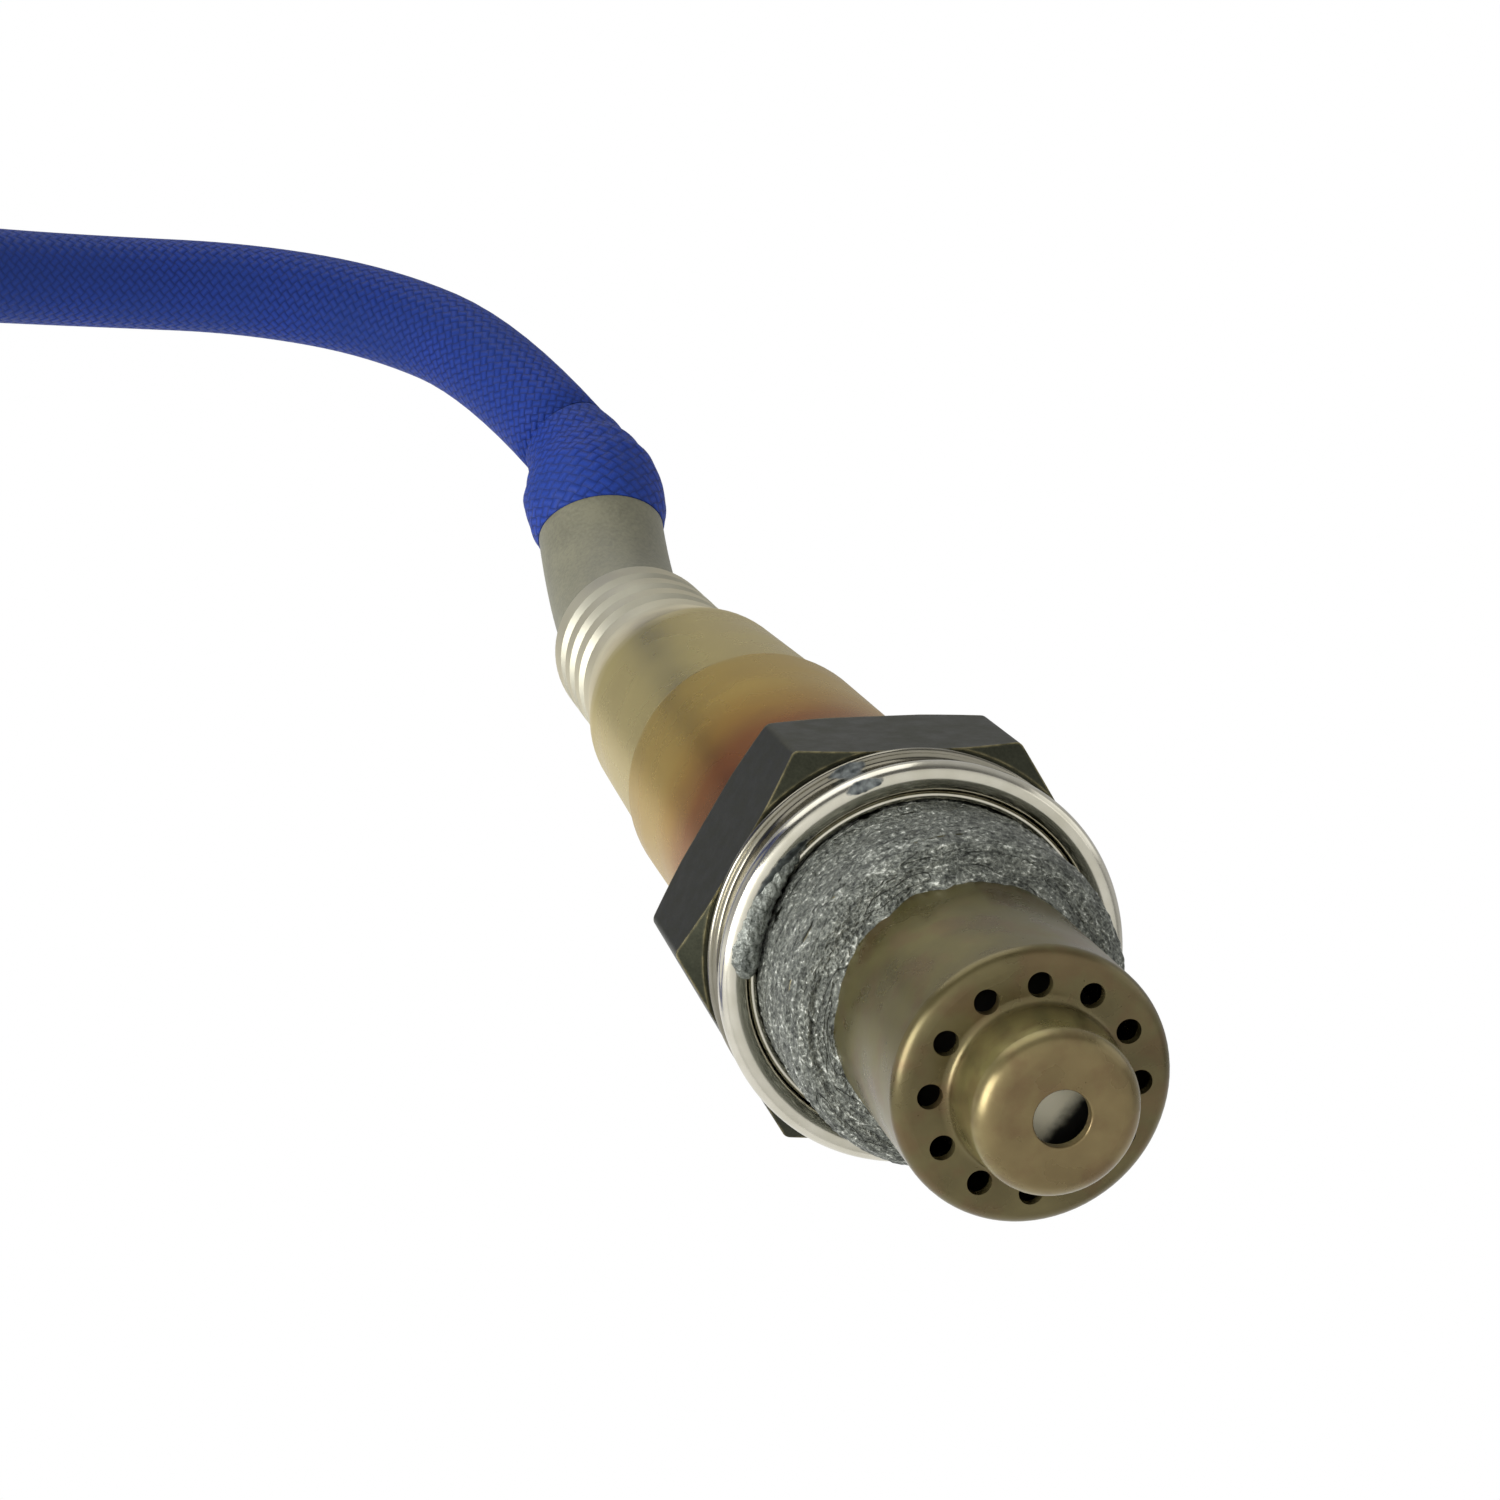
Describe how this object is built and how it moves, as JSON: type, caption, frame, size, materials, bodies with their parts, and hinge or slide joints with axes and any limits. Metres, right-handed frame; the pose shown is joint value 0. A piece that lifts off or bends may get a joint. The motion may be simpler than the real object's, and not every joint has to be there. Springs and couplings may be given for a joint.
{
  "type": "oxygen sensor",
  "caption": "Wideband exhaust oxygen sensor with hexagon, folded sealing ring, perforated tip, stepped rear sleeve and a sleeved lead wound in a tied coil to a rectangular plug.",
  "frame": {"origin": "centre of the hexagon's seat face, on the sensor's axis, where the threaded shank begins", "axes": "+Z along the sensor's axis from the measuring tip towards the lead, -Y towards one flat of the hexagon, which is the side that the boot leans to, +X completes the right-handed frame; the lead hangs down on the -X side"},
  "size_m": [0.0957, 0.1056, 0.1514],
  "materials": {
    "housing_steel": "blackened steel, satin",
    "ring_steel": "bright folded nickel-plated steel",
    "tube_steel": "deep-drawn alloy steel, heat-tinted olive bronze",
    "inner_tube_steel": "deep-drawn alloy steel, bright",
    "element_ceramic": "zirconia, matt cream",
    "bush_ceramic": "alumina, matt white",
    "talc": "pressed talc powder",
    "inner_steel": "plain steel",
    "sleeve_steel": "stainless steel, welded, heat-tinted gold",
    "contact_metal": "gold-flashed spring alloy",
    "seal_rubber": "heat-resistant fluoro rubber",
    "wire_insulation": "fluoropolymer wire insulation",
    "boot_silicone": "grey silicone, matt",
    "sleeve_fabric": "silicone-coated woven glass-fibre sleeve, blue",
    "tie_plastic": "black nylon",
    "plug_plastic": "black glass-filled nylon, fine texture",
    "plug_seal": "silicone family seal",
    "lock_plastic": "grey nylon"
  },
  "bodies": {
    "root": {"hex_housing": "housing_steel", "sealing_ring": "ring_steel", "outer_protection_tube": "tube_steel", "inner_protection_tube": "inner_tube_steel", "sensing_element": "element_ceramic", "lower_ceramic_bush": "bush_ceramic", "talc_seal": "talc", "upper_ceramic_bush": "bush_ceramic", "clamp_ring": "inner_steel", "rear_sleeve": "sleeve_steel", "contact_holder": "bush_ceramic", "holder_spring_ring": "inner_steel", "contact_1": "contact_metal", "contact_2": "contact_metal", "contact_3": "contact_metal", "contact_4": "contact_metal", "contact_5": "contact_metal", "wire_seal": "seal_rubber", "lead_wire_1": "wire_insulation", "lead_wire_2": "wire_insulation", "lead_wire_3": "wire_insulation", "lead_wire_4": "wire_insulation", "lead_wire_5": "wire_insulation", "silicone_boot": "boot_silicone", "sleeve_collar": "sleeve_fabric", "cable_sleeve": "sleeve_fabric", "cable_coil": "sleeve_fabric", "cable_tail": "sleeve_fabric", "coil_tie": "tie_plastic", "connector_cap": "plug_plastic", "connector_housing": "plug_plastic", "connector_seal": "plug_seal", "terminal_1": "contact_metal", "terminal_2": "contact_metal", "terminal_3": "contact_metal", "terminal_4": "contact_metal", "terminal_5": "contact_metal", "terminal_6": "contact_metal", "connector_latch": "plug_plastic", "terminal_lock": "lock_plastic", "trim_resistor": "bush_ceramic"}
  },
  "joints": []
}
